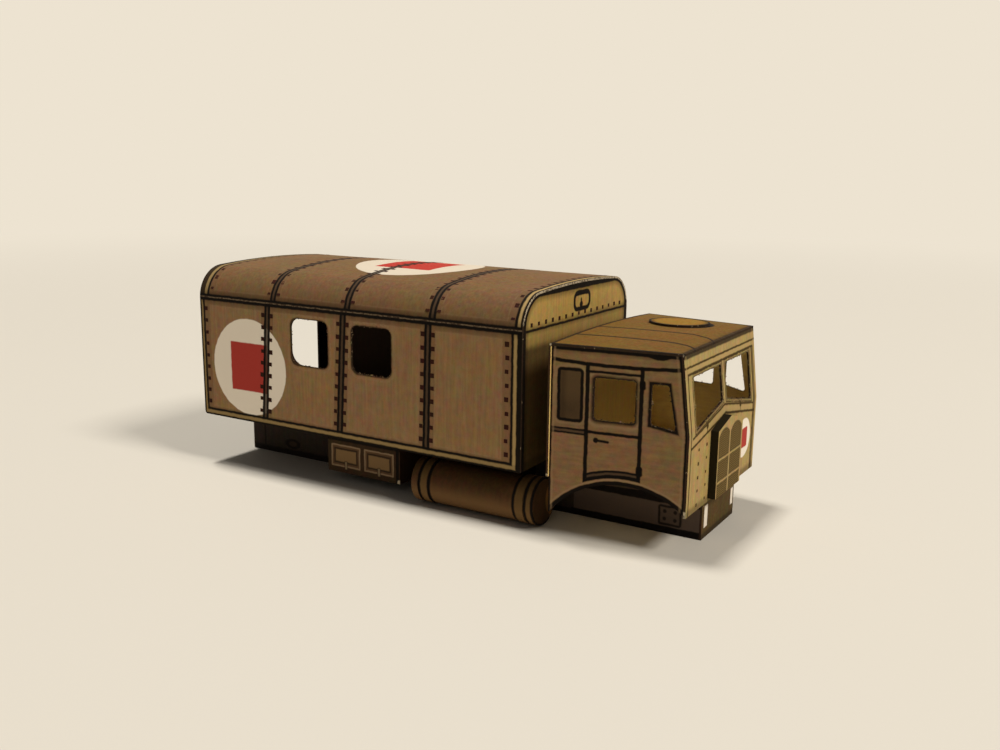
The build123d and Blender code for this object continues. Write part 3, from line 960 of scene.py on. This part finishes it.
def grown(name, tree, lines, settings, loops=False):
    """Runs a tree over line work and keeps the result as a plain piece on the truck."""
    source = line_work(name + "_lines", lines, loops)
    modifier = source.modifiers.new("tree", "NODES")
    modifier.node_group = tree
    for socket in tree.interface.items_tree:
        if socket.name in settings:
            modifier[socket.identifier] = settings[socket.name]
    bpy.context.view_layer.update()
    ready = source.evaluated_get(bpy.context.evaluated_depsgraph_get())
    mesh = bpy.data.meshes.new_from_object(ready)
    bpy.data.objects.remove(source)
    mesh.name = name
    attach(in_scene(name, mesh), "root")


def roof_line(roof, x, lowest_z, steps=72):
    """A line over the roof sheet's outer face at x, down to lowest_z on both sides."""
    well_outside = 40
    middle = Vector((x, 0, ROOF_MIDDLE_Z)) * MM
    start = math.atan2(lowest_z - ROOF_MIDDLE_Z, SIDE_Y - 0.4)
    line = []
    for step in range(steps + 1):
        turn = start + (math.pi - 2 * start) * step / steps
        away = Vector((0, math.cos(turn), math.sin(turn)))
        hit = roof.ray_cast(middle + away * well_outside * MM, -away)[0]
        line.append(hit / MM)
    return line


def sheet_surface(node):
    """A CAD node's faces, to cast rays on."""
    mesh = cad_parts[node].data
    corners = [vertex.co for vertex in mesh.vertices]
    return BVHTree.FromPolygons(corners, [face.vertices for face in mesh.polygons])


def side_column(rib_x, lean, y):
    """Both ends of a column of rivets on a side panel, which leans with its rib."""
    return [(rib_x + lean * (z - RIB_MIDDLE_Z), y, z) for z in SIDE_RIVETS_Z]


rivets = rivet_recipe()
ink = rivet_ink("rivet_ink", RIVET_INK)
side_columns = [(15.94, 0.0), (-40.6, 0.0)]
for rib_x, lean in RIBS:
    side_columns += [(rib_x - 0.87, lean), (rib_x + 0.87, lean)]
side_lines = [side_column(x, lean, y) for y in (-SIDE_Y, SIDE_Y) for x, lean in side_columns]
grown("body_side_rivets", rivets, side_lines, {
    "Rivets in a line": 9, "Width": 0.61 * MM, "Across": (1, 0, 0), "Seed": 4, "Ink": ink,
})
roof = sheet_surface("body_roof")
roof_columns = [16.55, -39.4] + [rib_x + shift for rib_x in ROOF_RIBS for shift in (-0.95, 0.95)]
roof_lines = [roof_line(roof, x, LOWEST_ROOF_RIVET_Z) for x in roof_columns]
grown("body_roof_rivets", rivets, roof_lines, {
    "Rivets in a line": 20, "Width": 0.66 * MM, "Thickness": 0.02 * MM,
    "Across": (1, 0, 0), "Seed": 7, "Ink": ink,
})
wall_line = [(BODY_FRONT, y, 28.2) for y in (-14.2, 13.8)]
grown("front_wall_rivets", rivets, [wall_line], {
    "Rivets in a line": 15, "Width": 0.6 * MM, "Across": (0, 0, 1), "Seed": 11, "Ink": ink,
})
# Two lines on the right and one on the left, clear of the disc.
nose_places = ((-9.95, 6.13), (-7.0, 6.24), (12.3, 6.0))
nose_height = 7.4
nose_lines = [[(CAB_FRONT, y, z) for z in (low, low + nose_height)] for y, low in nose_places]
grown("cab_nose_rivets", rivets, nose_lines, {
    "Rivets in a line": 5, "Width": 0.4 * MM, "Across": (0, 1, 0), "Seed": 13,
    "Ink": rivet_ink("nose_rivet_ink", NOSE_RIVET_INK),
})


# Torn fibres along the hand-cut edges

def torn_card():
    """Pale card fibre, browner where ink or fingers touched it."""
    sheet = PrintedSheet("torn_card", TORN_CARD, 0.3)
    dark = sheet.eased(sheet.noise(1.3, seed=51.0), 0.42, 0.56, 1.0, 0.0)
    sheet.colour = sheet.mixed(dark, sheet.colour, CUT_INK)
    return sheet.finish(abs(sheet.facing_x) + 1.0)


def rounded_outline(corners, radii, steps=5):
    """A closed outline's points, with a bend of its own size at each corner."""
    points = []
    for n, (corner, radius) in enumerate(zip(corners, radii)):
        here = Vector(corner)
        before = Vector(corners[n - 1]) - here
        after = Vector(corners[(n + 1) % len(corners)]) - here
        start = here + before.normalized() * radius
        end = here + after.normalized() * radius
        for step in range(steps + 1):
            share = step / steps
            points.append(start.lerp(here, share).lerp(here.lerp(end, share), share))
    return points


def box_corners(left, right, low, high):
    """A hole's corners, from low on its right, round by its top."""
    return [(right, low), (right, high), (left, high), (left, low)]


def cab_side_y(x):
    """How far out the tapering cab side stands at x."""
    return CAB_REAR_Y - (x - CAB_REAR) * CAB_TAPER


def windscreen_x(z):
    """How far forward the cab's front stands at z: it leans back above the waist."""
    return CAB_FRONT - max(0.0, z - WAIST_Z) * LEAN_BACK


edge_depth = 0.14
body_window_radii = [(1.3, 0.9, 1.0, 1.5), (1.1, 1.0, 1.6, 2.2)]
cab_window_radii = (0.4,) * 4
quarter_window = [
    (39.15, 16.5), (38.05, QUARTER_HIGH), (QUARTER_REAR, QUARTER_HIGH), (QUARTER_REAR, QUARTER_LOW),
]
inner, outer, low, high = WINDSCREEN
windscreen = [(inner, WINDSCREEN_INNER_LOW), (outer, low), (outer, high), (inner, high)]
cut_lines = []
for side in (-1, 1):
    for window, radii in zip(BODY_WINDOWS, body_window_radii):
        hole = rounded_outline(box_corners(*window), radii)
        cut_lines.append([(x, side * (SIDE_Y - edge_depth), z) for x, z in hole])
    for corners in (box_corners(*DOOR_WINDOW), quarter_window):
        hole = rounded_outline(corners, cab_window_radii)
        cut_lines.append([(x, side * (cab_side_y(x) - edge_depth), z) for x, z in hole])
    hole = rounded_outline([(side * y, z) for y, z in windscreen], cab_window_radii)
    cut_lines.append([(windscreen_x(z) - edge_depth, y, z) for y, z in hole])
grown("window_edge_fibres", fibre_recipe(), cut_lines, {
    "Step": 0.24 * MM, "Share": 0.5, "Size": 0.13 * MM, "Unevenness": 0.13 * MM,
    "Seed": 5, "Card": torn_card(),
}, loops=True)


# Floor, light and camera

def paper_floor():
    """A plain pale sheet under the model that fades into the backdrop further out."""
    size, low = 3000 * MM, -0.02 * MM
    fade_start, fade_end = 150.0, 600.0
    mesh = bpy.data.meshes.new("paper_floor")
    corners = [(-size, -size, low), (size, -size, low), (size, size, low), (-size, size, low)]
    mesh.from_pydata(corners, [], [(0, 1, 2, 3)])
    floor = in_scene("paper_floor", mesh)
    sheet = PrintedSheet("floor_paper", FLOOR_PAPER, 0.0)
    sheet.finish(sheet.facing_z, relief=0.02)
    output = next(n for n in sheet.tree.nodes if n.bl_idname == "ShaderNodeOutputMaterial")
    surface = output.inputs["Surface"]
    lit = surface.links[0].from_socket
    away = sheet.eased(length(sheet.x, sheet.y), fade_start, fade_end, 0.0, 1.0)
    seen = sheet.node("LightPath").outputs["Is Camera Ray"]
    glow = sheet.node("Emission")
    glow.inputs["Color"].default_value = BACKDROP
    blend = sheet.node("MixShader")
    sheet.feed(blend.inputs[0], away * Reading(sheet, seen))
    sheet.feed(blend.inputs[1], lit)
    sheet.feed(blend.inputs[2], glow.outputs[0])
    sheet.feed(surface, blend.outputs[0])
    mesh.materials.append(sheet.material)


def studio_world():
    """Even soft light from all round, which the camera sees as a pale backdrop."""
    world = bpy.data.worlds.new("studio")
    world.use_nodes = True
    bpy.context.scene.world = world
    tree = world.node_tree
    tree.nodes.clear()
    new, link = tree.nodes.new, tree.links.new
    light = new("ShaderNodeBackground")
    light.inputs["Color"].default_value = (1.0, 0.965, 0.92, 1.0)
    light.inputs["Strength"].default_value = 0.125
    backdrop = new("ShaderNodeBackground")
    backdrop.inputs["Color"].default_value = BACKDROP
    path = new("ShaderNodeLightPath").outputs
    seen = path["Is Camera Ray"]
    for ray in ("Is Glossy Ray", "Is Transmission Ray"):
        total = new("ShaderNodeMath")
        total.operation = "ADD"
        total.use_clamp = True
        link(seen, total.inputs[0])
        link(path[ray], total.inputs[1])
        seen = total.outputs[0]
    mix = new("ShaderNodeMixShader")
    for socket, source in zip(mix.inputs, (seen, light.outputs[0], backdrop.outputs[0])):
        link(source, socket)
    out = new("ShaderNodeOutputWorld")
    link(mix.outputs[0], out.inputs["Surface"])


def softbox(name, azimuth, elevation, distance, size, power, colour):
    """A square lamp at a bearing round the model, turned to face it. Lengths are in metres."""
    data = bpy.data.lights.new(name, "AREA")
    data.size = size
    data.energy = power
    data.color = colour
    lamp = in_scene(name, data)
    around, above = math.radians(azimuth), math.radians(elevation)
    level = Vector((math.cos(around), math.sin(around), 0))
    away = level * math.cos(above) + Vector((0, 0, math.sin(above)))
    lamp.location = away * distance + Vector((0, 0, 15)) * MM
    lamp.rotation_euler = away.to_track_quat("Z", "Y").to_euler()


def place_camera():
    """The photograph's angle: low, from the front right corner."""
    place = Vector((83.58, -130.72, 49.51)) * MM
    yaw, pitch, roll = 0.542193, 0.207709, 0.012877
    data = bpy.data.cameras.new("photo_camera")
    data.lens = 36.39
    data.sensor_width = 36
    data.clip_start = 0.005
    camera = in_scene("photo_camera", data)
    aimed = Matrix.Rotation(yaw, 4, "Z") @ Matrix.Rotation(math.pi / 2 - pitch, 4, "X")
    camera.matrix_world = Matrix.Translation(place) @ aimed @ Matrix.Rotation(roll, 4, "Z")
    bpy.context.scene.camera = camera


paper_floor()
studio_world()
softbox(
    "ceiling_light", azimuth=172, elevation=77, distance=2.0,
    size=0.26, power=26.5, colour=(1.0, 0.98, 0.94),
)
softbox(
    "room_light", azimuth=-4, elevation=46, distance=2.0,
    size=0.5, power=25.5, colour=(1.0, 0.97, 0.92),
)
place_camera()
bpy.context.scene.view_settings.view_transform = "Standard"
